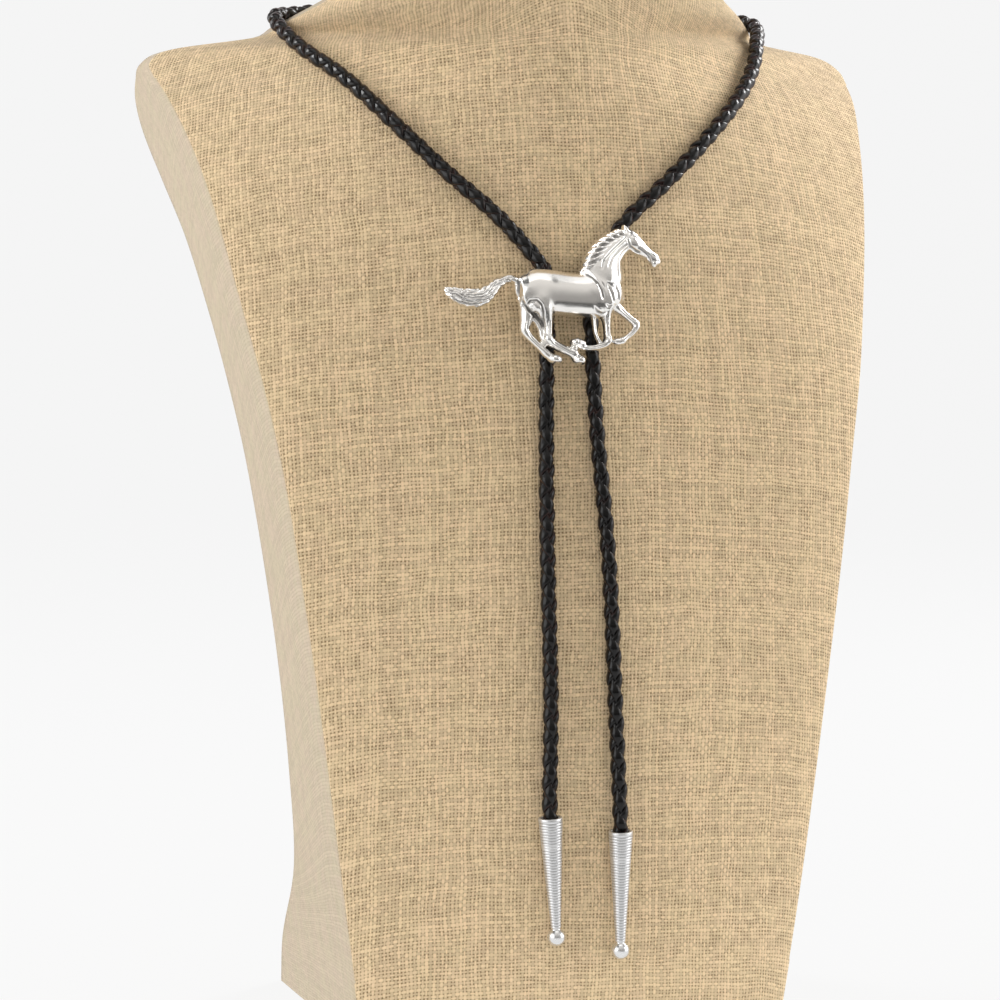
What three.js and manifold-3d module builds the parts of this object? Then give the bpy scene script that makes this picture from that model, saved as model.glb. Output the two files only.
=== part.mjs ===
// Bolo tie on a neck bust: a braided leather cord with a cast running horse slide and two
// coil grooved tips, hanging round a burlap covered bust that stands on its flat base.
// Millimetres, X to the right, Y to the back, Z up. The origin is the middle of the bust's base.
import * as THREE from 'three';
import { mergeVertices } from 'three/addons/utils/BufferGeometryUtils.js';
import Module from 'manifold-3d';

const wasm = await Module();
wasm.setup();

// Driving sizes
const bustHeight = 362;
const chestWidth = 235;
const bustDepth = 136;
const cordDiameter = 5;
const horseLength = 69;
const claspHeight = 9;
const cordSpacing = 13.8;
const tipLength = 39;
const tipMouth = 7;
const tipBall = 5;
const gap = 0.3;

// Where the slide and the tips hang, as shares of the chest width and the bust height
const slideAcross = -0.032;
const slideUp = 0.639;
const leftTipAcross = -0.064;
const leftTipUp = 0.201;
const rightTipAcross = 0.031;
const rightTipUp = 0.1855;

const cordRadius = cordDiameter / 2;
const boreRadius = cordRadius + gap + 0.1;
const sleeveRadius = boreRadius + 0.8;
const tau = Math.PI * 2;

// One closed mesh with shared corners and its faces pointing out
function closedSolid(geometry) {
  const bare = new THREE.BufferGeometry();
  bare.setAttribute('position', geometry.getAttribute('position'));
  if (geometry.index) bare.setIndex(geometry.index);
  const merged = mergeVertices(bare, 1e-4);
  const spot = merged.getAttribute('position');
  const order = Array.from(merged.index.array);
  const a = new THREE.Vector3();
  const b = new THREE.Vector3();
  const c = new THREE.Vector3();
  const kept = [];
  let volume = 0;
  for (let i = 0; i < order.length; i += 3) {
    const [p, q, r] = order.slice(i, i + 3);
    if (p === q || q === r || p === r) continue;
    a.fromBufferAttribute(spot, p);
    b.fromBufferAttribute(spot, q);
    c.fromBufferAttribute(spot, r);
    volume += a.dot(b.cross(c));
    kept.push(p, q, r);
  }
  if (volume < 0) {
    for (let i = 0; i < kept.length; i += 3) [kept[i], kept[i + 1]] = [kept[i + 1], kept[i]];
  }
  merged.setIndex(kept);
  return merged;
}

// Rings of equal length joined into a closed skin; the ends close on their given points
function loftRings(rings, firstPoint, lastPoint) {
  const count = rings[0].length;
  const corners = [firstPoint, ...rings.flat(), lastPoint];
  const faces = [];
  for (let k = 0; k < count; k += 1) {
    const next = (k + 1) % count;
    faces.push(0, 1 + next, 1 + k);
    for (let row = 0; row + 1 < rings.length; row += 1) {
      const low = 1 + row * count;
      const high = low + count;
      faces.push(low + k, low + next, high + next, low + k, high + next, high + k);
    }
    const top = 1 + (rings.length - 1) * count;
    faces.push(corners.length - 1, top + k, top + next);
  }
  const geometry = new THREE.BufferGeometry();
  const flat = new Float32Array(corners.flat());
  geometry.setAttribute('position', new THREE.BufferAttribute(flat, 3));
  geometry.setIndex(faces);
  return closedSolid(geometry);
}

function toManifold(geometry) {
  const solid = closedSolid(geometry);
  return new wasm.Manifold(new wasm.Mesh({
    numProp: 3,
    vertProperties: new Float32Array(solid.getAttribute('position').array),
    triVerts: new Uint32Array(solid.index.array),
  }));
}

function fromManifold(solid) {
  const mesh = solid.getMesh();
  const geometry = new THREE.BufferGeometry();
  geometry.setAttribute('position', new THREE.BufferAttribute(mesh.vertProperties, 3));
  geometry.setIndex(Array.from(mesh.triVerts));
  return closedSolid(geometry);
}

function piece(name, geometry, color, roughness, metalness) {
  const shown = geometry.toNonIndexed();
  shown.computeVertexNormals();
  const material = new THREE.MeshStandardMaterial({ color, roughness, metalness, flatShading: true });
  const mesh = new THREE.Mesh(shown, material);
  mesh.name = name;
  return mesh;
}

// Neck bust: level sections from the base to the top of the neck.
// up is a share of the bust height, half is half the breadth as a share of the chest width,
// edge and rear are where the front edge and the back edge stand, front and back the middle
// of the chest and of the back, all as shares of the bust depth; round and blunt shape the arc.
const bustColumns = ['up', 'half', 'edge', 'front', 'rear', 'back', 'round', 'blunt'];
const bustSections = [
  [0.000, 0.288, -0.320, -0.440, 0.530, 0.545, 2.0, 1.20],
  [0.050, 0.300, -0.325, -0.450, 0.420, 0.438, 2.0, 1.20],
  [0.130, 0.317, -0.335, -0.460, 0.165, 0.190, 2.0, 1.20],
  [0.220, 0.335, -0.340, -0.470, 0.075, 0.105, 2.0, 1.20],
  [0.320, 0.355, -0.338, -0.477, 0.037, 0.070, 2.0, 1.20],
  [0.415, 0.375, -0.327, -0.478, 0.045, 0.075, 2.0, 1.20],
  [0.500, 0.394, -0.300, -0.466, 0.080, 0.112, 2.0, 1.20],
  [0.570, 0.414, -0.258, -0.441, 0.125, 0.160, 2.0, 1.20],
  [0.630, 0.432, -0.195, -0.412, 0.190, 0.230, 2.0, 1.15],
  [0.690, 0.449, -0.125, -0.380, 0.295, 0.340, 1.9, 1.10],
  [0.740, 0.464, -0.045, -0.346, 0.440, 0.480, 1.8, 1.05],
  [0.782, 0.479, 0.052, -0.324, 0.535, 0.560, 1.7, 1.00],
  [0.810, 0.491, 0.140, -0.308, 0.525, 0.560, 1.6, 1.00],
  [0.829, 0.498, 0.228, -0.298, 0.460, 0.535, 1.5, 1.00],
  [0.843, 0.496, 0.285, -0.291, 0.410, 0.505, 1.5, 1.00],
  [0.854, 0.464, 0.290, -0.286, 0.375, 0.480, 1.6, 1.00],
  [0.864, 0.358, 0.200, -0.282, 0.290, 0.458, 1.7, 1.10],
  [0.873, 0.335, 0.150, -0.278, 0.240, 0.438, 1.8, 1.20],
  [0.884, 0.307, 0.085, -0.274, 0.180, 0.420, 1.9, 1.40],
  [0.900, 0.268, 0.035, -0.269, 0.125, 0.408, 2.0, 1.70],
  [0.917, 0.248, 0.015, -0.265, 0.100, 0.402, 2.0, 1.90],
  [0.953, 0.236, 0.005, -0.260, 0.085, 0.395, 2.0, 2.00],
  [1.000, 0.234, 0.000, -0.257, 0.080, 0.390, 2.0, 2.00],
];
const bustLevels = [
  0.000, 0.050, 0.090, 0.130, 0.175, 0.220, 0.270, 0.320, 0.368, 0.415, 0.458, 0.500, 0.535,
  0.570, 0.600, 0.630, 0.660, 0.690, 0.715, 0.740, 0.762, 0.782, 0.797, 0.810, 0.820, 0.829,
  0.837, 0.843, 0.849, 0.854, 0.859, 0.864, 0.873, 0.884, 0.900, 0.917, 0.953, 1.000,
];
const frontSteps = 24;
const backSteps = 8;

// Smooth curve through the hand-set sections of one column
function sectionValue(column, up) {
  const col = bustColumns.indexOf(column);
  const last = bustSections.length - 1;
  let i = 0;
  while (i < last - 1 && up > bustSections[i + 1][0]) i += 1;
  const slope = (k) => {
    const before = bustSections[Math.max(k - 1, 0)];
    const after = bustSections[Math.min(k + 1, last)];
    return (after[col] - before[col]) / (after[0] - before[0]);
  };
  const low = bustSections[i];
  const high = bustSections[i + 1];
  const span = high[0] - low[0];
  const t = Math.min(Math.max((up - low[0]) / span, 0), 1);
  const t2 = t * t;
  const t3 = t2 * t;
  return (2 * t3 - 3 * t2 + 1) * low[col] + (t3 - 2 * t2 + t) * span * slope(i)
    + (3 * t2 - 2 * t3) * high[col] + (t3 - t2) * span * slope(i + 1);
}

function bustSection(up) {
  const value = (column) => sectionValue(column, up);
  return {
    half: value('half') * chestWidth,
    edge: value('edge') * bustDepth,
    front: value('front') * bustDepth,
    rear: value('rear') * bustDepth,
    back: value('back') * bustDepth,
    round: value('round'),
    blunt: value('blunt'),
  };
}

// Depth of the chest and of the back at a place across the bust
function arcDepth(section, side, middle, across) {
  const share = Math.min(Math.abs(across) / section.half, 1);
  return side + (middle - side) * (1 - share ** section.round) ** (1 / section.blunt);
}

function bustRing(up) {
  const section = bustSection(up);
  const ring = [];
  for (let k = 0; k <= frontSteps; k += 1) {
    const swing = Math.sin(Math.PI * (k / frontSteps - 0.5));
    const across = section.half * THREE.MathUtils.lerp(2 * (k / frontSteps) - 1, swing, 0.6);
    ring.push([across, arcDepth(section, section.edge, section.front, across), up * bustHeight]);
  }
  for (let k = 0; k <= backSteps; k += 1) {
    const across = section.half * Math.cos((Math.PI * k) / backSteps);
    ring.push([across, arcDepth(section, section.rear, section.back, across), up * bustHeight]);
  }
  return ring;
}

const baseMiddle = [0, 0, 0];
const neckMiddle = [0, 0.05 * bustDepth, bustHeight];
const bustGeometry = loftRings(bustLevels.map(bustRing), baseMiddle, neckMiddle);

// A place on the chest, and the cord's middle line where the cord lies on it
function chestPlace(across, up) {
  const section = bustSection(up);
  const x = across * chestWidth;
  return new THREE.Vector3(x, arcDepth(section, section.edge, section.front, x), up * bustHeight);
}

function chestNormal(across, up) {
  const d = 0.004;
  const sideways = chestPlace(across + d, up).sub(chestPlace(across - d, up));
  const upwards = chestPlace(across, up + d).sub(chestPlace(across, up - d));
  return sideways.cross(upwards).normalize();
}

function onChest(across, up, lift = 0) {
  const off = cordRadius + gap + lift * cordDiameter;
  return chestPlace(across, up).addScaledVector(chestNormal(across, up), off);
}

function behindNeck(across, depth, up) {
  return new THREE.Vector3(across * chestWidth, depth * bustDepth, up * bustHeight);
}

// The slide lies on the chest and leans back with it
const slideNormal = chestNormal(slideAcross, slideUp);
const slideLean = Math.atan2(slideNormal.z, -slideNormal.y);
const slideSpot = chestPlace(slideAcross, slideUp)
  .addScaledVector(new THREE.Vector3(0, slideNormal.y, slideNormal.z).normalize(), sleeveRadius + 2 * gap);
const slide = new THREE.Group();
slide.position.copy(slideSpot);
slide.rotation.x = -slideLean;
slide.updateMatrixWorld(true);

function throughSlide(side, along) {
  const spot = new THREE.Vector3(side * cordSpacing / 2, 0, along * claspHeight);
  return spot.applyMatrix4(slide.matrixWorld);
}

// The tips hang from the cord's ends, close in front of the bust
function tipPlacement(across, up, leanAcross, leanBack) {
  const tip = new THREE.Group();
  const spot = chestPlace(across, up);
  spot.y -= tipMouth / 2 + 2 * gap;
  tip.position.copy(spot);
  tip.rotation.set(leanBack, leanAcross, 0);
  tip.updateMatrixWorld(true);
  return tip;
}
const leftTip = tipPlacement(leftTipAcross, leftTipUp, -0.071, 0.060);
const rightTip = tipPlacement(rightTipAcross, rightTipUp, -0.019, 0.060);
const boreDepth = 0.24 * tipLength;

function inTip(tip, along) {
  return new THREE.Vector3(0, 0, along * tipLength).applyMatrix4(tip.matrixWorld);
}

// The cord's route from tip to tip. On the chest: across as a share of the chest width, up as a
// share of the bust height, lift off the cloth as a share of the cord's thickness.
// Behind the neck: across, depth and up of the cord's own middle line.
const cordRoute = [
  inTip(leftTip, -(boreDepth - gap) / tipLength),
  inTip(leftTip, 0.00),
  inTip(leftTip, 0.10),
  onChest(-0.063, 0.302, 0.10),
  onChest(-0.068, 0.440, 0.10),
  onChest(-0.064, 0.560, 0.14),
  throughSlide(-1, -1.20),
  throughSlide(-1, -0.62),
  throughSlide(-1, 0.62),
  throughSlide(-1, 0.80),
  onChest(-0.063, 0.664, 0.20),
  onChest(-0.110, 0.702, 0.10),
  onChest(-0.170, 0.740, 0.08),
  onChest(-0.225, 0.780, 0.08),
  onChest(-0.276, 0.818, 0.10),
  onChest(-0.321, 0.850, 0.16),
  behindNeck(-0.343, 0.155, 0.8835),
  behindNeck(-0.307, 0.260, 0.8925),
  behindNeck(-0.175, 0.372, 0.899),
  behindNeck(0.000, 0.436, 0.902),
  behindNeck(0.175, 0.372, 0.899),
  behindNeck(0.307, 0.260, 0.8925),
  behindNeck(0.342, 0.150, 0.8835),
  onChest(0.308, 0.852, 0.14),
  onChest(0.281, 0.826, 0.10),
  onChest(0.232, 0.797, 0.08),
  onChest(0.158, 0.756, 0.08),
  onChest(0.107, 0.728, 0.08),
  onChest(0.054, 0.700, 0.08),
  onChest(0.013, 0.666, 0.20),
  throughSlide(1, 0.80),
  throughSlide(1, 0.62),
  throughSlide(1, -0.62),
  throughSlide(1, -1.20),
  onChest(0.000, 0.530, 0.10),
  onChest(0.013, 0.420, 0.08),
  onChest(0.023, 0.290, 0.10),
  inTip(rightTip, 0.10),
  inTip(rightTip, 0.00),
  inTip(rightTip, -(boreDepth - gap) / tipLength),
];

// The cord's sections stand at the route's points and about every other diameter between them
class CordPath extends THREE.CatmullRomCurve3 {
  constructor(points, spacing) {
    super(points, false, 'centripetal');
    const spans = points.length - 1;
    this.stations = [];
    for (let i = 0; i < spans; i += 1) {
      const parts = Math.max(1, Math.round(points[i].distanceTo(points[i + 1]) / spacing));
      for (let k = 0; k < parts; k += 1) this.stations.push((i + k / parts) / spans);
    }
    this.stations.push(1);
  }

  station(u) {
    return this.stations[Math.round(u * (this.stations.length - 1))];
  }

  getPointAt(u, target) {
    return this.getPoint(this.station(u), target);
  }

  getTangentAt(u, target) {
    return this.getTangent(this.station(u), target);
  }
}
const cordPath = new CordPath(cordRoute, 2.4 * cordDiameter);
const cordOutline = new THREE.Shape().absarc(0, 0, cordRadius, 0, tau);
const cordGeometry = closedSolid(new THREE.ExtrudeGeometry(cordOutline, {
  steps: cordPath.stations.length - 1,
  curveSegments: 4,
  extrudePath: cordPath,
}));

// Horse slide: every part of the animal is a row of oval rings on the flat back.
// Shares of the horse's length: along from the tail tip, up from the lowest hoof,
// half is half the breadth of the part there and rise is how far it stands out.
const horseParts = {
  torso: [
    [0.345, 0.333, 0.024, 0.035],
    [0.360, 0.328, 0.058, 0.060],
    [0.385, 0.321, 0.080, 0.076],
    [0.425, 0.318, 0.094, 0.085],
    [0.484, 0.315, 0.096, 0.088],
    [0.543, 0.311, 0.093, 0.088],
    [0.602, 0.306, 0.091, 0.088],
    [0.661, 0.305, 0.094, 0.090],
    [0.720, 0.307, 0.095, 0.090],
    [0.764, 0.304, 0.082, 0.082],
    [0.800, 0.293, 0.056, 0.064],
    [0.822, 0.286, 0.026, 0.036],
  ],
  neck: [
    [0.730, 0.320, 0.080, 0.070],
    [0.737, 0.370, 0.086, 0.080],
    [0.742, 0.425, 0.084, 0.078],
    [0.758, 0.472, 0.075, 0.072],
    [0.793, 0.513, 0.064, 0.066],
    [0.832, 0.542, 0.053, 0.062],
    [0.852, 0.556, 0.036, 0.048],
  ],
  head: [
    [0.826, 0.566, 0.036, 0.050],
    [0.849, 0.549, 0.047, 0.062],
    [0.879, 0.524, 0.045, 0.062],
    [0.912, 0.497, 0.036, 0.052],
    [0.943, 0.475, 0.028, 0.044],
    [0.969, 0.455, 0.029, 0.044],
    [0.988, 0.438, 0.018, 0.032],
  ],
  muzzle: [
    [0.968, 0.462, 0.018, 0.040],
    [0.966, 0.438, 0.020, 0.042],
    [0.964, 0.420, 0.013, 0.030],
  ],
  ear: [
    [0.848, 0.560, 0.018, 0.060],
    [0.840, 0.585, 0.014, 0.052],
    [0.833, 0.606, 0.005, 0.040],
  ],
  tail: [
    [0.352, 0.342, 0.018, 0.040],
    [0.330, 0.363, 0.017, 0.036],
    [0.292, 0.371, 0.018, 0.036],
    [0.247, 0.350, 0.025, 0.042],
    [0.210, 0.318, 0.033, 0.048],
    [0.166, 0.290, 0.041, 0.050],
    [0.118, 0.286, 0.045, 0.050],
    [0.070, 0.297, 0.036, 0.044],
    [0.030, 0.314, 0.026, 0.036],
    [0.008, 0.330, 0.010, 0.024],
  ],
  nearForeleg: [
    [0.770, 0.335, 0.034, 0.062],
    [0.768, 0.305, 0.044, 0.082],
    [0.763, 0.270, 0.040, 0.082],
    [0.757, 0.230, 0.027, 0.058],
    [0.758, 0.187, 0.017, 0.042],
    [0.758, 0.145, 0.014, 0.036],
    [0.763, 0.108, 0.018, 0.040],
    [0.733, 0.083, 0.013, 0.034],
    [0.691, 0.073, 0.011, 0.030],
    [0.646, 0.069, 0.011, 0.030],
    [0.620, 0.081, 0.014, 0.034],
    [0.596, 0.095, 0.020, 0.040],
  ],
  farForeleg: [
    [0.780, 0.280, 0.034, 0.050],
    [0.800, 0.255, 0.028, 0.046],
    [0.831, 0.230, 0.019, 0.036],
    [0.868, 0.201, 0.015, 0.030],
    [0.894, 0.177, 0.016, 0.030],
    [0.875, 0.146, 0.011, 0.024],
    [0.849, 0.124, 0.010, 0.022],
    [0.823, 0.108, 0.013, 0.026],
    [0.795, 0.098, 0.015, 0.028],
    [0.766, 0.099, 0.014, 0.026],
  ],
  chestStrap: [
    [0.709, 0.215, 0.010, 0.024],
    [0.714, 0.159, 0.009, 0.022],
    [0.722, 0.120, 0.009, 0.022],
    [0.739, 0.088, 0.009, 0.022],
  ],
  nearHindLeg: [
    [0.446, 0.352, 0.050, 0.064],
    [0.450, 0.318, 0.068, 0.084],
    [0.456, 0.278, 0.066, 0.090],
    [0.474, 0.230, 0.042, 0.070],
    [0.485, 0.187, 0.024, 0.050],
    [0.484, 0.145, 0.018, 0.042],
    [0.482, 0.113, 0.019, 0.042],
    [0.517, 0.085, 0.013, 0.034],
    [0.554, 0.066, 0.012, 0.030],
    [0.587, 0.049, 0.015, 0.034],
    [0.606, 0.035, 0.012, 0.030],
    [0.632, 0.018, 0.019, 0.036],
  ],
  farHindLeg: [
    [0.405, 0.275, 0.050, 0.060],
    [0.395, 0.230, 0.035, 0.050],
    [0.388, 0.187, 0.024, 0.042],
    [0.379, 0.148, 0.018, 0.034],
    [0.410, 0.109, 0.012, 0.026],
    [0.447, 0.073, 0.011, 0.024],
    [0.473, 0.046, 0.015, 0.028],
    [0.488, 0.031, 0.012, 0.026],
    [0.514, 0.021, 0.018, 0.032],
  ],
  hindStrut: [
    [0.425, 0.205, 0.010, 0.022],
    [0.452, 0.160, 0.009, 0.020],
    [0.460, 0.120, 0.009, 0.020],
    [0.478, 0.088, 0.009, 0.020],
  ],
};
const horseSides = {
  torso: 24,
  neck: 20,
  head: 16,
  muzzle: 10,
  ear: 8,
  tail: 14,
  nearForeleg: 12,
  farForeleg: 10,
  chestStrap: 8,
  nearHindLeg: 14,
  farHindLeg: 10,
  hindStrut: 8,
};

// Locks of the mane along the crest: along, up, half length, half breadth, rise, turn in radians
const maneLocks = [
  [0.672, 0.418, 0.030, 0.013, 0.066, 0.35],
  [0.682, 0.447, 0.030, 0.013, 0.068, 0.30],
  [0.697, 0.474, 0.030, 0.013, 0.068, 0.22],
  [0.716, 0.500, 0.030, 0.013, 0.068, 0.10],
  [0.738, 0.524, 0.030, 0.013, 0.068, -0.05],
  [0.764, 0.545, 0.030, 0.014, 0.068, -0.25],
  [0.792, 0.562, 0.030, 0.015, 0.066, -0.45],
  [0.818, 0.575, 0.026, 0.014, 0.062, -0.60],
];

// The point of the chart that lies in front of the middle of the clasp
const horseMiddleAlong = 0.583;
const horseMiddleUp = 0.315;
const horseBack = -(sleeveRadius + gap);
const backCut = 0.012;

// Oval ring across a part's own line; its rear half dips behind the flat back and is cut off
function horseLimb(rows, sides) {
  const at = rows.map(([along, up]) => new THREE.Vector2(along - horseMiddleAlong, up - horseMiddleUp));
  const lines = rows.map((row, i) => {
    const before = at[Math.max(i - 1, 0)];
    const after = at[Math.min(i + 1, rows.length - 1)];
    return after.clone().sub(before).normalize();
  });
  const scaled = (x, y, z) => [x * horseLength, horseBack + y * horseLength, z * horseLength];
  const rings = rows.map((row, i) => {
    const [half, rise] = row.slice(2);
    const ring = [];
    for (let k = 0; k < sides; k += 1) {
      const turn = (tau * k) / sides;
      const out = Math.sin(turn);
      const aside = half * Math.cos(turn);
      const depth = out > 0 ? -rise * out : -backCut * out;
      ring.push(scaled(at[i].x - lines[i].y * aside, depth, at[i].y + lines[i].x * aside));
    }
    return ring;
  });
  const cap = (i, way) => {
    const reach = 0.5 * rows[i][2] * way;
    return scaled(at[i].x + lines[i].x * reach, 0, at[i].y + lines[i].y * reach);
  };
  return toManifold(loftRings(rings, cap(0, -1), cap(rows.length - 1, 1)));
}

function maneLock([along, up, long, broad, rise, turn]) {
  const lock = new THREE.SphereGeometry(1, 10, 8);
  lock.scale(long * horseLength, rise * horseLength, broad * horseLength);
  lock.rotateY(-turn);
  lock.translate(
    (along - horseMiddleAlong) * horseLength,
    horseBack,
    (up - horseMiddleUp) * horseLength,
  );
  return toManifold(lock);
}

let horse = null;
for (const [part, rows] of Object.entries(horseParts)) {
  const limb = horseLimb(rows, horseSides[part]);
  horse = horse ? horse.add(limb) : limb;
}
for (const lock of maneLocks) horse = horse.add(maneLock(lock));
const behind = new THREE.BoxGeometry(2 * horseLength, horseLength, 2 * horseLength);
behind.translate(0, horseBack + horseLength / 2, 0);
horse = horse.subtract(toManifold(behind));

// Slide clasp: two plain sleeves for the cord, joined by a flat web behind the horse
function sleeve(side) {
  const profile = [
    new THREE.Vector2(boreRadius, -claspHeight / 2),
    new THREE.Vector2(sleeveRadius, -claspHeight / 2),
    new THREE.Vector2(sleeveRadius, claspHeight / 2),
    new THREE.Vector2(boreRadius, claspHeight / 2),
    new THREE.Vector2(boreRadius, -claspHeight / 2),
  ];
  const tube = new THREE.LatheGeometry(profile, 24);
  tube.rotateX(Math.PI / 2);
  tube.translate(side * cordSpacing / 2, 0, 0);
  return tube;
}
const webThickness = 1.2;
const webWidth = cordSpacing - 2 * boreRadius;
const web = new THREE.BoxGeometry(cordSpacing, webThickness, claspHeight);
web.translate(0, -sleeveRadius + webThickness / 2, 0);
const boreCut = (side) => {
  const bore = new THREE.CylinderGeometry(boreRadius, boreRadius, 2 * claspHeight, 24);
  bore.rotateX(Math.PI / 2);
  bore.translate(side * cordSpacing / 2, 0, 0);
  return toManifold(bore);
};
const clasp = toManifold(web)
  .add(toManifold(sleeve(-1)))
  .add(toManifold(sleeve(1)))
  .subtract(boreCut(-1))
  .subtract(boreCut(1));

// Cord tip: a cone wound like a coil from the mouth to a thin neck, with a ball at the end.
// Heights run down from the mouth at 0.
const coilTurns = 30;
const coilDepth = 0.22;
const coilEnd = 0.86 * tipLength;
const collarHeight = 0.035 * tipLength;
const tipNeck = 2.8;
const tipProfile = [
  new THREE.Vector2(0, -boreDepth),
  new THREE.Vector2(boreRadius, -boreDepth),
  new THREE.Vector2(boreRadius, 0),
  new THREE.Vector2(tipMouth / 2, 0),
  new THREE.Vector2(tipMouth / 2, -collarHeight),
];
for (let i = 0; i < coilTurns; i += 1) {
  const share = (i + 0.5) / coilTurns;
  const crest = THREE.MathUtils.lerp(tipMouth, tipNeck, share) / 2;
  const pitch = (coilEnd - collarHeight) / coilTurns;
  const top = -collarHeight - i * pitch;
  tipProfile.push(new THREE.Vector2(crest - coilDepth, top - 0.2 * pitch));
  tipProfile.push(new THREE.Vector2(crest, top - 0.7 * pitch));
}
const ballMiddle = -tipLength + tipBall / 2;
const ballStart = Math.asin((0.45 * tipNeck) / (tipBall / 2));
tipProfile.push(new THREE.Vector2(0.45 * tipNeck, -coilEnd));
for (let i = 0; i <= 8; i += 1) {
  const turn = THREE.MathUtils.lerp(ballStart, Math.PI, i / 8);
  const across = i === 8 ? 0 : Math.sin(turn) * tipBall / 2;
  tipProfile.push(new THREE.Vector2(across, ballMiddle + Math.cos(turn) * tipBall / 2));
}

function tipPiece(name) {
  const turned = new THREE.LatheGeometry(tipProfile, 12);
  turned.rotateX(Math.PI / 2);
  return piece(name, closedSolid(turned), 0xb9bbbd, 0.28, 1);
}

leftTip.add(tipPiece('tip_left'));
rightTip.add(tipPiece('tip_right'));
slide.add(piece('horse_slide', fromManifold(horse), 0xc9cacb, 0.2, 1));
slide.add(piece('slide_clasp', fromManifold(clasp), 0xb4b5b6, 0.35, 1));

const boloTie = new THREE.Group();
boloTie.add(piece('neck_bust', bustGeometry, 0xceb68a, 0.92, 0));
boloTie.add(piece('braided_cord', cordGeometry, 0x14120f, 0.38, 0));
boloTie.add(slide, leftTip, rightTip);

export default boloTie;
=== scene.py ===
# Bolo tie on a neck bust: a braided leather cord, a cast running horse slide on a plain clasp,
# two coil grooved tips, and the burlap covered bust that the tie hangs on. Metres, Z up.
import math

import bmesh
import bpy
import numpy as np
from mathutils import Matrix, Vector, noise


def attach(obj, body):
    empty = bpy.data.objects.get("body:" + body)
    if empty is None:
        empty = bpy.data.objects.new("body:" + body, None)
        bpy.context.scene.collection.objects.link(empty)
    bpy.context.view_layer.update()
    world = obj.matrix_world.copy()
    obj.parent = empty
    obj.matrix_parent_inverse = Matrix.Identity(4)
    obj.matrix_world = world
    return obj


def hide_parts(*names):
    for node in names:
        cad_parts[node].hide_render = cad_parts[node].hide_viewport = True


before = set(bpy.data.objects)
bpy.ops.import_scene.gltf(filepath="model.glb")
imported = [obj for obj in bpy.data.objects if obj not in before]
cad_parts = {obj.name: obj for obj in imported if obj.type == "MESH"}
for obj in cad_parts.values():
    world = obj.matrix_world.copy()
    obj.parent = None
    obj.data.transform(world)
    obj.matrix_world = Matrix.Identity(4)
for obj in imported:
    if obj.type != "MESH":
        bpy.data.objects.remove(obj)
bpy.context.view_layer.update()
scene = bpy.context.scene
scene.view_settings.view_transform = "Standard"
scene.view_settings.look = "None"

# Camera: a long lens a little above the bust's middle, 17 degrees round to the left of its front.
# It looks a touch past the bust's left, so that the tie hangs right of the picture's middle.
side_turn = math.radians(-17)
rise_turn = math.radians(4)
back_way = Vector((
    math.sin(side_turn) * math.cos(rise_turn),
    -math.cos(side_turn) * math.cos(rise_turn),
    math.sin(rise_turn),
))
right_way = Vector((math.cos(side_turn), math.sin(side_turn), 0))
picture_pixels = 1000
lens_pixels = 3871
aside_pixels = 72
sensor_width = 36
view_way = (-back_way - right_way * (aside_pixels / lens_pixels)).normalized()
camera = bpy.data.objects.new("camera", bpy.data.cameras.new("camera"))
camera.data.sensor_width = sensor_width
camera.data.lens = sensor_width * lens_pixels / picture_pixels
camera.data.clip_start = 0.05
camera.data.clip_end = 40
camera.location = (-0.3500, -1.1848, 0.2517)
camera.rotation_mode = "QUATERNION"
camera.rotation_quaternion = view_way.to_track_quat("-Z", "Y")
scene.collection.objects.link(camera)
scene.camera = camera

# Braided cord: four flat strands of black dyed leather, braided into one round cord 5 mm thick.
# It runs from tip to tip, up the chest, through the slide, past both shoulders and round behind
# the neck. The strands are waxed and polished. Their edges are reddish brown, partly from dye worn
# thin there and partly a painted reflection of the warm cloth, which a reddish sheen paints too.
cord_route = [
    (-0.0144, -0.0667, 0.0637), (-0.0150, -0.0672, 0.0728), (-0.0153, -0.0675, 0.0766),
    (-0.0150, -0.0675, 0.1093), (-0.0162, -0.0675, 0.1594), (-0.0153, -0.0635, 0.2033),
    (-0.0144, -0.0615, 0.2215), (-0.0144, -0.0605, 0.2267), (-0.0144, -0.0584, 0.2376),
    (-0.0144, -0.0581, 0.2392), (-0.0151, -0.0567, 0.2411), (-0.0264, -0.0514, 0.2550),
    (-0.0408, -0.0436, 0.2689), (-0.0541, -0.0329, 0.2836), (-0.0662, -0.0172, 0.2982),
    (-0.0769, 0.0014, 0.3092), (-0.0799, 0.0211, 0.3185), (-0.0710, 0.0346, 0.3206),
    (-0.0405, 0.0491, 0.3238), (0.0000, 0.0589, 0.3252), (0.0405, 0.0491, 0.3238),
    (0.0710, 0.0346, 0.3206), (0.0797, 0.0204, 0.3185), (0.0739, -0.0006, 0.3101),
    (0.0675, -0.0134, 0.3011), (0.0558, -0.0289, 0.2899), (0.0380, -0.0425, 0.2746),
    (0.0257, -0.0486, 0.2645), (0.0130, -0.0533, 0.2542), (0.0031, -0.0572, 0.2418),
    (-0.0006, -0.0581, 0.2392), (-0.0006, -0.0584, 0.2376), (-0.0006, -0.0605, 0.2267),
    (-0.0006, -0.0615, 0.2215), (0.0000, -0.0654, 0.1923), (0.0031, -0.0681, 0.1521),
    (0.0055, -0.0679, 0.1049), (0.0072, -0.0676, 0.0710), (0.0073, -0.0674, 0.0672),
    (0.0075, -0.0669, 0.0581),
]
braid_lay = 0.0136
braid_middle = 0.00112
braid_swing = 0.00054
strand_width = 0.0034
strand_thickness = 0.0018
strand_sides = 10
strand_roundness = 0.9
steps_per_lay = 20
core_radius = 0.0010
core_sides = 8
core_stride = 4
curve_steps = 24


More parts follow.
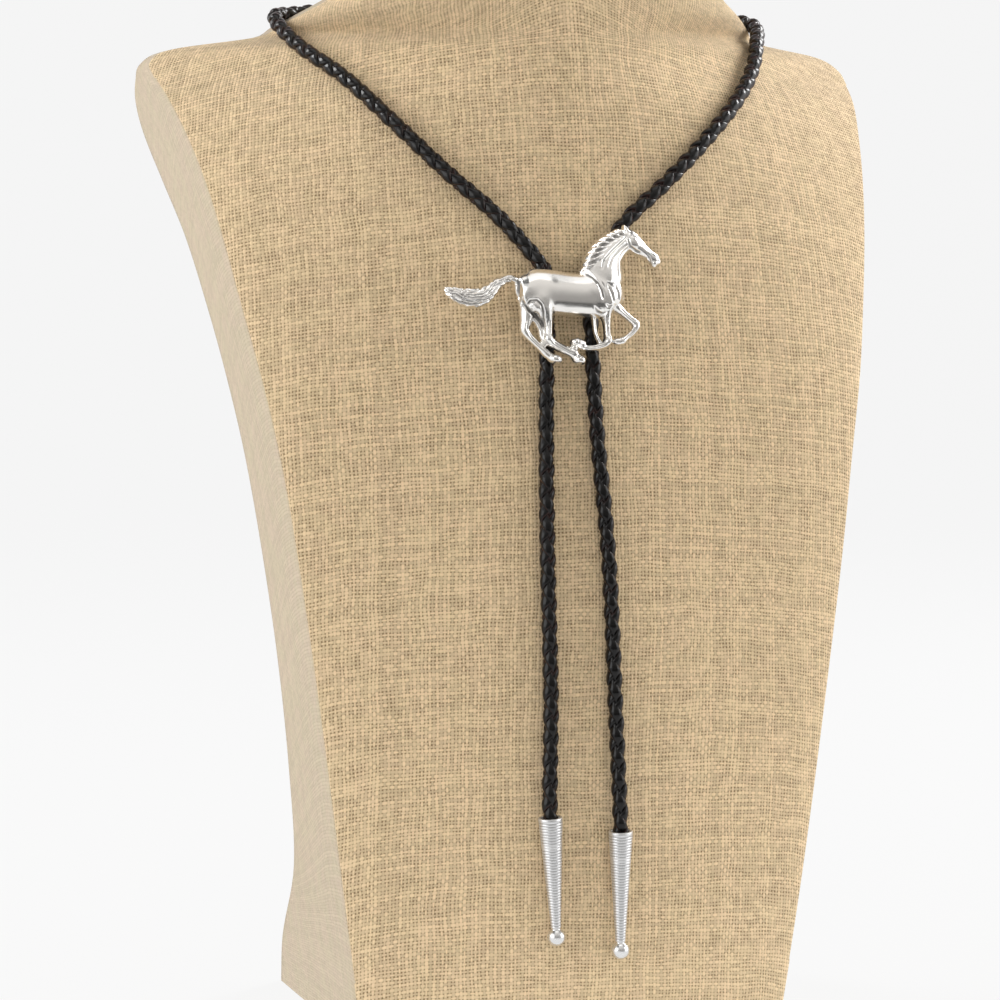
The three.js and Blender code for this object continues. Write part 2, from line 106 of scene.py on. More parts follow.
def smooth_path(points, spacing):
    """Evenly spaced places along a centripetal curve through the points"""
    points = [Vector(p) for p in points]
    points = [2 * points[0] - points[1], *points, 2 * points[-1] - points[-2]]
    places = []
    for i in range(1, len(points) - 2):
        a, b, c, d = points[i - 1:i + 3]
        knots = [0.0]
        for p, q in ((a, b), (b, c), (c, d)):
            knots.append(knots[-1] + max((q - p).length, 1e-9) ** 0.5)
        k0, k1, k2, k3 = knots
        for k in range(curve_steps):
            t = k1 + (k2 - k1) * k / curve_steps
            ab = a.lerp(b, (t - k0) / (k1 - k0))
            bc = b.lerp(c, (t - k1) / (k2 - k1))
            cd = c.lerp(d, (t - k2) / (k3 - k2))
            left = ab.lerp(bc, (t - k0) / (k2 - k0))
            right = bc.lerp(cd, (t - k1) / (k3 - k1))
            places.append(left.lerp(right, (t - k1) / (k2 - k1)))
    places.append(points[-2])
    line = np.array(places)
    run = np.concatenate([[0], np.cumsum(np.linalg.norm(np.diff(line, axis=0), axis=1))])
    count = max(2, round(run[-1] / spacing) + 1)
    evenly = np.linspace(0, run[-1], count)
    return np.stack([np.interp(evenly, run, line[:, k]) for k in range(3)], axis=1), run[-1]


def carried_frames(line):
    """Two sideways directions at each place of a line, carried along it without twist"""
    ways = np.gradient(line, axis=0)
    ways /= np.linalg.norm(ways, axis=1)[:, None]
    side = np.cross(ways[0], (0, 1, 0))
    sides = []
    for way in ways:
        side = side - way * np.dot(side, way)
        side /= np.linalg.norm(side)
        sides.append(side)
    sides = np.array(sides)
    return sides, np.cross(ways, sides)


def closed_tube(mesh, rings, uv_length=1.0):
    """Tube through rings of points, shaped from a grid whose two long edges are merged"""
    along, around = len(rings), len(rings[0])
    layer = mesh.loops.layers.uv.verify()
    made = bmesh.ops.create_grid(
        mesh, x_segments=along - 1, y_segments=around, size=1, calc_uvs=True)["verts"]
    for vert in made:
        i = round((vert.co.x + 1) / 2 * (along - 1))
        k = round((vert.co.y + 1) / 2 * around)
        vert.co = rings[i][k % around]
    faces = {face for vert in made for face in vert.link_faces}
    for face in faces:
        for loop in face.loops:
            loop[layer].uv = (loop[layer].uv.x * uv_length, loop[layer].uv.y)
    seam = [v for v in made if v.is_boundary]
    bmesh.ops.remove_doubles(mesh, verts=seam, dist=1e-7)
    rims = {e for f in faces if f.is_valid for e in f.edges if e.is_boundary}
    bmesh.ops.holes_fill(mesh, edges=list(rims), sides=0)


def finished_piece(name, mesh, *materials):
    """Piece from a bmesh, with its normals outwards and its faces shaded smooth"""
    bmesh.ops.recalc_face_normals(mesh, faces=mesh.faces[:])
    for face in mesh.faces:
        face.smooth = True
    data = bpy.data.meshes.new(name)
    mesh.to_mesh(data)
    mesh.free()
    for material in materials:
        data.materials.append(material)
    piece = bpy.data.objects.new(name, data)
    scene.collection.objects.link(piece)
    return piece


class Number:
    """One number of a shader, for use in Python's own sums"""

    def __init__(self, tree, socket):
        self.tree = tree
        self.socket = socket

    def step(self, way, *others):
        node = self.tree.nodes.new("ShaderNodeMath")
        node.operation = way
        for slot, value in zip(node.inputs, others):
            if isinstance(value, Number):
                self.tree.links.new(value.socket, slot)
            else:
                slot.default_value = value
        return Number(self.tree, node.outputs[0])

    def __add__(self, other):
        return self.step("ADD", self, other)

    __radd__ = __add__

    def __sub__(self, other):
        return self.step("SUBTRACT", self, other)

    def __rsub__(self, other):
        return self.step("SUBTRACT", other, self)

    def __mul__(self, other):
        return self.step("MULTIPLY", self, other)

    __rmul__ = __mul__

    def __truediv__(self, other):
        return self.step("DIVIDE", self, other)

    def __rtruediv__(self, other):
        return self.step("DIVIDE", other, self)

    def __pow__(self, other):
        return self.step("POWER", self, other)

    def __mod__(self, other):
        return self.step("FLOORED_MODULO", self, other)

    def __abs__(self):
        return self.step("ABSOLUTE", self)

    def __gt__(self, other):
        return self.step("GREATER_THAN", self, other)

    def floor(self):
        return self.step("FLOOR", self)

    def cos(self):
        return self.step("COSINE", self)

    def root(self):
        return self.step("SQRT", self)

    def most(self, other):
        return self.step("MAXIMUM", self, other)


class Finish:
    """One material: its surface shader, and nodes made in one place"""

    def __init__(self, name, colour, roughness, metallic=0.0):
        self.material = bpy.data.materials.new(name)
        self.material.use_nodes = True
        self.tree = self.material.node_tree
        self.surface = self.tree.nodes["Principled BSDF"]
        self.plain("Base Color", (*colour, 1))
        self.plain("Roughness", roughness)
        self.plain("Metallic", metallic)

    def plain(self, socket, value):
        self.surface.inputs[socket].default_value = value

    def node(self, kind, settings, **sockets):
        node = self.tree.nodes.new(kind)
        for key, value in settings.items():
            setattr(node, key, value)
        for key, value in sockets.items():
            slot = node.inputs[int(key[1:])] if key[1:].isdigit() else node.inputs[key]
            if isinstance(value, Number):
                self.tree.links.new(value.socket, slot)
            elif isinstance(value, bpy.types.NodeSocket):
                self.tree.links.new(value, slot)
            else:
                slot.default_value = value
        return node

    def number(self, kind, settings, output=0, **sockets):
        return Number(self.tree, self.node(kind, settings, **sockets).outputs[output])

    def vector(self, x, y, z=0.0):
        return self.node("ShaderNodeCombineXYZ", {}, X=x, Y=y, Z=z).outputs[0]

    def noise(self, where, scale, detail, roughness=0.5):
        return self.number("ShaderNodeTexNoise", {}, Vector=where, Scale=scale,
                           Detail=detail, Roughness=roughness)

    def chance(self, where):
        return self.number("ShaderNodeTexWhiteNoise", {"noise_dimensions": "1D"}, W=where)

    def ramp(self, value, low, high, out_low=0.0, out_high=1.0):
        """Eased step of a value from low to high"""
        return self.number("ShaderNodeMapRange", {"interpolation_type": "SMOOTHSTEP"},
                           Value=value, _1=low, _2=high, _3=out_low, _4=out_high)

    def blend(self, share, first, second):
        first = (*first, 1) if isinstance(first, tuple) else first
        second = (*second, 1) if isinstance(second, tuple) else second
        return self.node("ShaderNodeMix", {"data_type": "RGBA"},
                         Factor=share, _6=first, _7=second).outputs[2]

    def shade(self, colour, by):
        return self.node("ShaderNodeMix", {"data_type": "RGBA", "blend_type": "MULTIPLY"},
                         Factor=1.0, _6=colour, _7=self.vector(by, by, by)).outputs[2]

    def feed(self, socket, value):
        source = value.socket if isinstance(value, Number) else value
        self.tree.links.new(source, self.surface.inputs[socket])

    def bump(self, height, distance, strength):
        made = self.node("ShaderNodeBump", {}, Height=height, Distance=distance, Strength=strength)
        self.feed("Normal", made.outputs[0])

    def parts(self, vector):
        made = self.node("ShaderNodeSeparateXYZ", {}, Vector=vector)
        return [Number(self.tree, made.outputs[k]) for k in range(3)]

    def uv(self):
        return self.parts(self.node("ShaderNodeUVMap", {}).outputs[0])[:2]

    def place(self):
        return self.node("ShaderNodeTexCoord", {}).outputs["Object"]


cord_line, cord_length = smooth_path(cord_route, braid_lay / steps_per_lay)
cord_sides, cord_ups = carried_frames(cord_line)
cord_runs = np.linspace(0, cord_length, len(cord_line))
lay_turn = math.tau * cord_runs / braid_lay
braid = bmesh.new()
# Two strands wind each way, and each swings over and under the two that cross it
for hand in (1, -1):
    for strand in (0, 1):
        turn = hand * lay_turn + math.pi * strand
        reach = braid_middle + hand * braid_swing * np.cos(2 * lay_turn)
        out = cord_sides * np.cos(turn)[:, None] + cord_ups * np.sin(turn)[:, None]
        middle = cord_line + out * reach[:, None]
        forward = np.gradient(middle, axis=0)
        forward /= np.linalg.norm(forward, axis=1)[:, None]
        broad = np.cross(forward, out)
        broad /= np.linalg.norm(broad, axis=1)[:, None]
        thick = np.cross(broad, forward)
        rings = []
        for i in range(len(middle)):
            ring = []
            for k in range(strand_sides):
                angle = math.tau * k / strand_sides
                across = math.copysign(
                    abs(math.cos(angle)) ** strand_roundness, math.cos(angle))
                ring.append(Vector(middle[i] + broad[i] * across * strand_width / 2
                                   + thick[i] * math.sin(angle) * strand_thickness / 2))
            rings.append(ring)
        closed_tube(braid, rings, cord_length)
# A thin core fills the middle of the braid
core_rings = []
for i in range(0, len(cord_line), core_stride):
    core_rings.append([
        Vector(cord_line[i] + (cord_sides[i] * math.cos(math.tau * k / core_sides)
                               + cord_ups[i] * math.sin(math.tau * k / core_sides)) * core_radius)
        for k in range(core_sides)])
closed_tube(braid, core_rings, cord_length)

black_dye = (0.003, 0.0026, 0.0026)
worn_edge_and_reflection = (0.022, 0.008, 0.006)
leather = Finish("black braided leather", black_dye, 0.36)
leather.plain("Specular IOR Level", 0.11)
leather_place = leather.place()
leather_along, leather_around = leather.uv()
# Painted reflection and wear: the strands' edges turn reddish brown, partly worn dye and partly
# the warm cloth's reflection
edge_wear_and_reflection = leather.ramp(abs((leather_around * math.tau).cos()), 0.86, 1.0)
patches = leather.noise(leather_place, 90, 3)
leather.feed("Base Color", leather.blend(
    edge_wear_and_reflection * leather.ramp(patches, 0.42, 0.62), black_dye, worn_edge_and_reflection))
leather.feed("Roughness", leather.ramp(patches, 0.3, 0.7, 0.30, 0.42))
pores = leather.noise(leather_place, 2600, 3, 0.6)
creases = leather.noise(leather.vector(leather_along * 300, leather_around * 10), 1.0, 2)
leather.bump(pores + creases * 1.4, 0.00003, 0.4)
leather.plain("Coat Weight", 0.42)
leather.plain("Coat Roughness", 0.08)
# Painted reflection: a reddish sheen stands for the warm cloth reflected on the strands' edges
leather.plain("Sheen Weight", 0.12)
leather.plain("Sheen Roughness", 0.35)
leather.plain("Sheen Tint", (0.50, 0.10, 0.06, 1))
cord_piece = finished_piece("braided_leather_cord", braid, leather.material)
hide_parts("braided_cord")
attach(cord_piece, "root")

# Neck bust: a hard moulded form with a flat base and a cut neck, its front covered in burlap, a
# plain weave of round, uneven jute threads. The sides and the back are covered in a smoother,
# greyer cloth, and the two covers are glued down and meet on a turned edge down each side.
bust_height = 0.362
chest_width = 0.235
bust_depth = 0.136
# Height, half breadth, depths of the front's edge and middle, and of the back's, all as shares,
# and the two powers that shape the curves between them
bust_columns = ["up", "half", "edge", "front", "rear", "back", "round", "blunt"]
bust_sections = np.array([
    [0.000, 0.288, -0.320, -0.440, 0.530, 0.545, 2.0, 1.20],
    [0.050, 0.300, -0.325, -0.450, 0.420, 0.438, 2.0, 1.20],
    [0.130, 0.317, -0.335, -0.460, 0.165, 0.190, 2.0, 1.20],
    [0.220, 0.335, -0.340, -0.470, 0.075, 0.105, 2.0, 1.20],
    [0.320, 0.355, -0.338, -0.477, 0.037, 0.070, 2.0, 1.20],
    [0.415, 0.375, -0.327, -0.478, 0.045, 0.075, 2.0, 1.20],
    [0.500, 0.394, -0.300, -0.466, 0.080, 0.112, 2.0, 1.20],
    [0.570, 0.414, -0.258, -0.441, 0.125, 0.160, 2.0, 1.20],
    [0.630, 0.432, -0.195, -0.412, 0.190, 0.230, 2.0, 1.15],
    [0.690, 0.449, -0.125, -0.380, 0.295, 0.340, 1.9, 1.10],
    [0.740, 0.464, -0.045, -0.346, 0.440, 0.480, 1.8, 1.05],
    [0.782, 0.479, 0.052, -0.324, 0.535, 0.560, 1.7, 1.00],
    [0.810, 0.491, 0.140, -0.308, 0.525, 0.560, 1.6, 1.00],
    [0.829, 0.498, 0.228, -0.298, 0.460, 0.535, 1.5, 1.00],
    [0.843, 0.496, 0.285, -0.291, 0.410, 0.505, 1.5, 1.00],
    [0.854, 0.464, 0.290, -0.286, 0.375, 0.480, 1.6, 1.00],
    [0.864, 0.358, 0.200, -0.282, 0.290, 0.458, 1.7, 1.10],
    [0.873, 0.335, 0.150, -0.278, 0.240, 0.438, 1.8, 1.20],
    [0.884, 0.307, 0.085, -0.274, 0.180, 0.420, 1.9, 1.40],
    [0.900, 0.268, 0.035, -0.269, 0.125, 0.408, 2.0, 1.70],
    [0.917, 0.248, 0.015, -0.265, 0.100, 0.402, 2.0, 1.90],
    [0.953, 0.236, 0.005, -0.260, 0.085, 0.395, 2.0, 2.00],
    [1.000, 0.234, 0.000, -0.257, 0.080, 0.390, 2.0, 2.00],
])
bust_levels = [
    0.000, 0.050, 0.090, 0.130, 0.175, 0.220, 0.270, 0.320, 0.368, 0.415, 0.458, 0.500, 0.535,
    0.570, 0.600, 0.630, 0.660, 0.690, 0.715, 0.740, 0.762, 0.782, 0.797, 0.810, 0.820, 0.829,
    0.837, 0.843, 0.849, 0.854, 0.859, 0.864, 0.873, 0.884, 0.900, 0.917, 0.953, 1.000,
]
row_steps = 4
front_steps = 96
back_steps = 24
side_steps = 16
drift_scale = 16
thread_drift = 0.0014
waver_scale = 6
thread_waver = 0.0006
weft_arch = 0.006
turned_edge = 0.0014
turned_from, turned_to = 0.02, 0.30


def eased(t, first, last, leaving, arriving):
    """Smooth step from the first value to the last, with its slope at each"""
    return ((2 * t ** 3 - 3 * t ** 2 + 1) * first + (t ** 3 - 2 * t ** 2 + t) * leaving
            + (3 * t ** 2 - 2 * t ** 3) * last + (t ** 3 - t ** 2) * arriving)


def bust_section(up):
    """The listed sections joined by one smooth curve for each column"""
    ups = bust_sections[:, 0]
    i = int(np.clip(np.searchsorted(ups, up, side="left") - 1, 0, len(ups) - 2))
    span = ups[i + 1] - ups[i]
    slopes = []
    for k in (i, i + 1):
        under, over = max(k - 1, 0), min(k + 1, len(ups) - 1)
        rise = ups[over] - ups[under]
        slopes.append(span * (bust_sections[over] - bust_sections[under]) / rise)
    t = min(max((up - ups[i]) / span, 0), 1)
    return dict(zip(bust_columns, eased(t, bust_sections[i], bust_sections[i + 1], *slopes)))


def curve_place(section, up, share, side, middle):
    """Place on the curve that bulges from the side's depth to the middle's"""
    bulge = (1 - min(abs(share), 1) ** section["round"]) ** (1 / section["blunt"])
    depth = section[side] + (section[middle] - section[side]) * bulge
    return Vector((share * section["half"] * chest_width, depth * bust_depth, up * bust_height))


def front_place(section, up, i):
    share = 2 * i / front_steps - 1
    share = 0.4 * share + 0.6 * math.sin(math.pi / 2 * share)
    return curve_place(section, up, share, "edge", "front")


def back_place(section, up, i):
    return curve_place(section, up, -math.cos(math.pi * i / back_steps), "rear", "back")


def side_place(side):
    """Places on one side, straight back from the front's edge to the back's edge"""
    def place(section, up, i):
        front = curve_place(section, up, side, "edge", "front")
        return front.lerp(curve_place(section, up, side, "rear", "back"), i / side_steps)
    return place


rows = []
for i in range(len(bust_levels) - 1):
    for k in range(row_steps):
        rows.append(bust_levels[i] + (bust_levels[i + 1] - bust_levels[i]) * k / row_steps)
rows.append(1.0)
sections = [bust_section(up) for up in rows]


def cloth_panel(mesh, columns, place, cloth, middle_column=0, arch=0.0):
    """Panel of cloth over the form: a grid laid on it, its UV map in metres of thread"""
    layer = mesh.loops.layers.uv.verify()
    made = bmesh.ops.create_grid(
        mesh, x_segments=columns, y_segments=len(rows) - 1, size=1, calc_uvs=True)["verts"]
    spots = np.array([[place(sections[j], rows[j], i) for j in range(len(rows))]
                      for i in range(columns + 1)])
    across = np.zeros(spots.shape[:2])
    across[1:] = np.cumsum(np.linalg.norm(np.diff(spots, axis=0), axis=2), axis=0)
    across -= across[middle_column]
    upward = np.zeros(spots.shape[:2])
    upward[:, 1:] = np.cumsum(np.linalg.norm(np.diff(spots, axis=1), axis=2), axis=1)
    across_share = np.linspace(-1, 1, columns + 1)[:, None]
    upward = upward + arch * across_share ** 2
    for i in range(columns + 1):
        for j in range(len(rows)):
            where = Vector((across[i, j], upward[i, j], 0.3 * cloth)) * drift_scale
            fine = where * waver_scale
            across[i, j] += noise.noise(where) * thread_drift + noise.noise(fine) * thread_waver
            upward[i, j] += (noise.noise(where + Vector((7.3, 2.1, 4.4))) * thread_drift
                             + noise.noise(fine + Vector((1.7, 5.2, 3.1))) * thread_waver)
    grid_at = {}
    for vert in made:
        i = round((vert.co.x + 1) / 2 * columns)
        j = round((vert.co.y + 1) / 2 * (len(rows) - 1))
        grid_at[vert] = (i, j)
        vert.co = spots[i, j]
    for face in {face for vert in made for face in vert.link_faces}:
        face.material_index = cloth
        for loop in face.loops:
            loop[layer].uv = (across[grid_at[loop.vert]], upward[grid_at[loop.vert]])


bust = bmesh.new()
cloth_panel(bust, front_steps, front_place, 0, front_steps // 2, weft_arch)
cloth_panel(bust, back_steps, back_place, 1, back_steps // 2)
cloth_panel(bust, side_steps, side_place(-1), 1)
cloth_panel(bust, side_steps, side_place(1), 1)
bmesh.ops.remove_doubles(bust, verts=bust.verts[:], dist=1e-5)
for level in (0.0, bust_height):
    rim = [e for e in bust.edges
           if e.is_boundary and all(abs(v.co.z - level) < 1e-6 for v in e.verts)]
    lid = bmesh.ops.contextual_create(bust, geom=rim)["faces"]
    for edge in rim:
        edge.smooth = False
    for face in lid:
        face.material_index = 1
        for loop in face.loops:
            loop[bust.loops.layers.uv.verify()].uv = loop.vert.co.xy
bmesh.ops.recalc_face_normals(bust, faces=bust.faces[:])
turned = [e for e in bust.edges if len(e.link_faces) == 2
          and {f.material_index for f in e.link_faces} == {0, 1}
          and all(turned_from < v.co.z < turned_to for v in e.verts)]
bmesh.ops.bevel(bust, geom=turned, offset=turned_edge, affect="EDGES", segments=3, profile=0.5,
                material=-1, clamp_overlap=True)


def woven(name, pitch, thin, bright, pale, gap_shade, height, tone_range):
    """Plain weave: warp and weft threads of uneven thickness and tone, with painted shade in the
    gaps
    """
    slub_scale = 210
    slub_from, slub_to = 0.40, 0.62
    row_shift = 3.7
    widest_half = 0.51
    crown, dip = 0.74, 0.26
    row_share, slub_share, crossing_share = 0.65, 0.4, 0.4
    cloth = Finish(name, bright, 0.9)
    cloth.plain("Sheen Weight", 0.15)
    cloth.plain("Sheen Roughness", 0.5)
    cloth.plain("Specular IOR Level", 0.2)
    u, v = cloth.uv()
    warp, weft = u / pitch, v / pitch
    warp_row, weft_row = warp.floor(), weft.floor()
    warp_off = warp - warp_row - 0.5
    weft_off = weft - weft_row - 0.5
    over = 1 - ((warp_row + weft_row) % 2) * 2
    warp_slub = cloth.noise(cloth.vector(warp_row * row_shift, v * slub_scale), 1.0, 0)
    weft_slub = cloth.noise(cloth.vector(u * slub_scale, weft_row * row_shift, 9.0), 1.0, 0)
    warp_half = cloth.ramp(warp_slub, slub_from, slub_to, thin, widest_half)
    weft_half = cloth.ramp(weft_slub, slub_from, slub_to, thin, widest_half)
    warp_round = (1 - (warp_off / warp_half) ** 2).most(0.0).root()
    weft_round = (1 - (weft_off / weft_half) ** 2).most(0.0).root()
    warp_high = warp_round * (crown + over * (weft_off * math.pi).cos() * dip)
    weft_high = weft_round * (crown - over * (warp_off * math.pi).cos() * dip)
    high = warp_high.most(weft_high)
    warp_top = warp_high > weft_high
    warp_tone = cloth.chance(warp_row + 0.5) * row_share + warp_slub * slub_share
    weft_tone = cloth.chance(weft_row + 70.5) * row_share + weft_slub * slub_share
    tone = warp_top * warp_tone + (1 - warp_top) * weft_tone
    patches = cloth.noise(cloth.place(), 140, 2)
    crossing = cloth.chance(warp_row * 7.13 + weft_row * 3.71)
    jute = cloth.blend(cloth.ramp(patches, 0.35, 0.65), pale, bright)
    # Painted shade: where the threads dip low, in the gaps and down their sides, the colour turns
    # darker
    colour = cloth.blend(cloth.ramp(high, 0.05, 0.85), gap_shade, jute)
    tone = cloth.ramp(tone + crossing * crossing_share, 0.25, 1.2, *tone_range)
    cloth.feed("Base Color", cloth.shade(colour, tone))
    cloth.bump(high, height, 0.8)
    return cloth


burlap = woven(
    "burlap", pitch=0.00115, thin=0.32, bright=(0.752, 0.570, 0.360), pale=(0.732, 0.566, 0.350),
    gap_shade=(0.272, 0.184, 0.090), height=0.00030, tone_range=(0.86, 1.16))
side_cloth = woven(
    "plain side cloth", pitch=0.0011, thin=0.40, bright=(0.515, 0.416, 0.307),
    pale=(0.500, 0.424, 0.297), gap_shade=(0.355, 0.279, 0.185), height=0.00012,
    tone_range=(0.90, 1.08))
bust_piece = finished_piece("burlap_neck_bust", bust, burlap.material, side_cloth.material)
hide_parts("neck_bust")
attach(bust_piece, "root")

# Horse slide: one casting of a running horse in high relief, with a flat back. It is made of
# silvery metal and polished bright. Its mane, tail and muscles are modelled in the casting. Their
# deepest lines are left rougher, and their darker colour is partly patina and partly painted
# shade.
horse_length = 0.069
horse_middle = (0.583, 0.315)
horse_back = -0.0040
# The casting leans back with the chest by this turn in radians
slide_middle = Vector((-0.00752, -0.0594872, 0.2321303))
slide_lean = 0.19005
slide_place = Matrix.Translation(slide_middle) @ Matrix.Rotation(-slide_lean, 4, "X")
limb_sides = 24
limb_substeps = 4
# How far each end's rings are pushed out, and how much of their size they keep
end_rings = [(-0.50, 0.15), (-0.38, 0.60), (-0.20, 0.85)]
skin_cell = 0.00028
skin_rounds = 2
trunk_rounds = 70
trunk_along = (0.375, 0.730)
trunk_up = (0.235, 0.412)
trunk_rise = 0.035
# Along from the tail's end, up from the lowest hoof, half breadth, rise, as shares of the length
horse_parts = {
    "torso": [
        (0.341, 0.328, 0.040, 0.040), (0.350, 0.328, 0.064, 0.060), (0.372, 0.323, 0.083, 0.076),
        (0.410, 0.319, 0.099, 0.086), (0.484, 0.311, 0.101, 0.088), (0.543, 0.303, 0.099, 0.088),
        (0.602, 0.298, 0.098, 0.088), (0.661, 0.296, 0.101, 0.090), (0.715, 0.298, 0.102, 0.090),
        (0.756, 0.296, 0.088, 0.082), (0.790, 0.286, 0.060, 0.064), (0.810, 0.280, 0.028, 0.036)],
    "neck": [
        (0.722, 0.320, 0.084, 0.070), (0.724, 0.370, 0.096, 0.080), (0.731, 0.425, 0.092, 0.078),
        (0.749, 0.472, 0.081, 0.072), (0.787, 0.513, 0.067, 0.066), (0.828, 0.542, 0.055, 0.062),
        (0.852, 0.556, 0.036, 0.048)],
    "head": [
        (0.826, 0.566, 0.036, 0.050), (0.849, 0.549, 0.047, 0.062), (0.879, 0.524, 0.045, 0.062),
        (0.912, 0.497, 0.036, 0.052), (0.943, 0.475, 0.028, 0.044), (0.969, 0.455, 0.029, 0.044),
        (0.988, 0.438, 0.018, 0.032)],
    "muzzle": [
        (0.968, 0.462, 0.018, 0.040), (0.966, 0.438, 0.020, 0.042), (0.964, 0.420, 0.013, 0.030)],
    "ear": [
        (0.848, 0.560, 0.018, 0.060), (0.840, 0.585, 0.014, 0.052), (0.833, 0.606, 0.005, 0.040)],
    "tail": [
        (0.352, 0.342, 0.018, 0.040), (0.330, 0.363, 0.017, 0.036), (0.292, 0.371, 0.018, 0.036),
        (0.247, 0.350, 0.025, 0.042), (0.210, 0.318, 0.033, 0.048), (0.166, 0.290, 0.041, 0.050),
        (0.118, 0.286, 0.045, 0.050), (0.070, 0.297, 0.036, 0.044), (0.030, 0.314, 0.026, 0.036),
        (0.008, 0.330, 0.010, 0.024)],
    "near foreleg": [
        (0.745, 0.325, 0.036, 0.062), (0.742, 0.292, 0.046, 0.082), (0.737, 0.257, 0.042, 0.082),
        (0.732, 0.215, 0.028, 0.058), (0.734, 0.172, 0.019, 0.044), (0.734, 0.130, 0.016, 0.038),
        (0.735, 0.092, 0.022, 0.042), (0.706, 0.071, 0.017, 0.036), (0.668, 0.063, 0.015, 0.032),
        (0.630, 0.063, 0.015, 0.032), (0.606, 0.076, 0.019, 0.036), (0.584, 0.092, 0.026, 0.040)],
    "far foreleg": [
        (0.760, 0.270, 0.036, 0.050), (0.780, 0.244, 0.030, 0.046), (0.810, 0.218, 0.021, 0.036),
        (0.845, 0.189, 0.018, 0.030), (0.872, 0.165, 0.020, 0.030), (0.858, 0.136, 0.015, 0.026),
        (0.834, 0.115, 0.014, 0.024), (0.808, 0.100, 0.016, 0.028), (0.786, 0.090, 0.019, 0.030),
        (0.770, 0.094, 0.017, 0.028)],
    "chest strap": [
        (0.678, 0.205, 0.011, 0.026), (0.679, 0.150, 0.010, 0.024), (0.686, 0.112, 0.010, 0.024),
        (0.704, 0.078, 0.011, 0.024)],
    "near hind leg": [
        (0.424, 0.366, 0.036, 0.046), (0.426, 0.312, 0.074, 0.084), (0.434, 0.268, 0.072, 0.092),
        (0.450, 0.218, 0.046, 0.074), (0.461, 0.174, 0.028, 0.052), (0.462, 0.132, 0.022, 0.044),
        (0.462, 0.102, 0.026, 0.044), (0.494, 0.078, 0.022, 0.036), (0.530, 0.059, 0.021, 0.034),
        (0.562, 0.042, 0.021, 0.036), (0.584, 0.026, 0.020, 0.034), (0.606, 0.010, 0.022, 0.038)],
    "far hind leg": [
        (0.385, 0.272, 0.052, 0.060), (0.374, 0.226, 0.038, 0.050), (0.366, 0.182, 0.028, 0.042),
        (0.358, 0.143, 0.022, 0.036), (0.388, 0.104, 0.017, 0.028), (0.424, 0.069, 0.016, 0.026),
        (0.450, 0.042, 0.019, 0.030), (0.466, 0.028, 0.018, 0.030), (0.490, 0.014, 0.026, 0.036)],
    "near fore hoof": [
        (0.570, 0.092, 0.019, 0.034), (0.584, 0.087, 0.024, 0.042), (0.604, 0.083, 0.023, 0.042),
        (0.626, 0.080, 0.017, 0.036)],
    "near hind hoof": [
        (0.578, 0.020, 0.019, 0.036), (0.590, 0.013, 0.024, 0.042), (0.606, 0.008, 0.024, 0.042),
        (0.618, 0.003, 0.018, 0.034)],
    "near hind fetlock": [
        (0.566, 0.050, 0.018, 0.036), (0.576, 0.041, 0.023, 0.040), (0.586, 0.032, 0.018, 0.036)],
    "far hind hoof": [
        (0.466, 0.024, 0.018, 0.032), (0.480, 0.018, 0.023, 0.038), (0.498, 0.013, 0.023, 0.038),
        (0.514, 0.009, 0.018, 0.032)],
    "far fore hoof": [
        (0.788, 0.090, 0.016, 0.028), (0.800, 0.094, 0.021, 0.034), (0.814, 0.100, 0.018, 0.030)],
    "hind strut": [
        (0.402, 0.200, 0.014, 0.024), (0.428, 0.153, 0.013, 0.022), (0.436, 0.112, 0.013, 0.022),
        (0.454, 0.080, 0.013, 0.022)],
}
# Locks of the mane: along, up, half length, half breadth, rise, and turn in radians
mane_locks = [
    (0.660, 0.420, 0.042, 0.013, 0.068, 0.42), (0.673, 0.449, 0.042, 0.013, 0.070, 0.38),
    (0.688, 0.476, 0.042, 0.013, 0.070, 0.32), (0.707, 0.501, 0.042, 0.013, 0.070, 0.22),
    (0.731, 0.524, 0.040, 0.013, 0.070, 0.08), (0.757, 0.543, 0.038, 0.014, 0.070, -0.10),
    (0.786, 0.560, 0.034, 0.014, 0.068, -0.30), (0.814, 0.573, 0.028, 0.014, 0.064, -0.50),
]
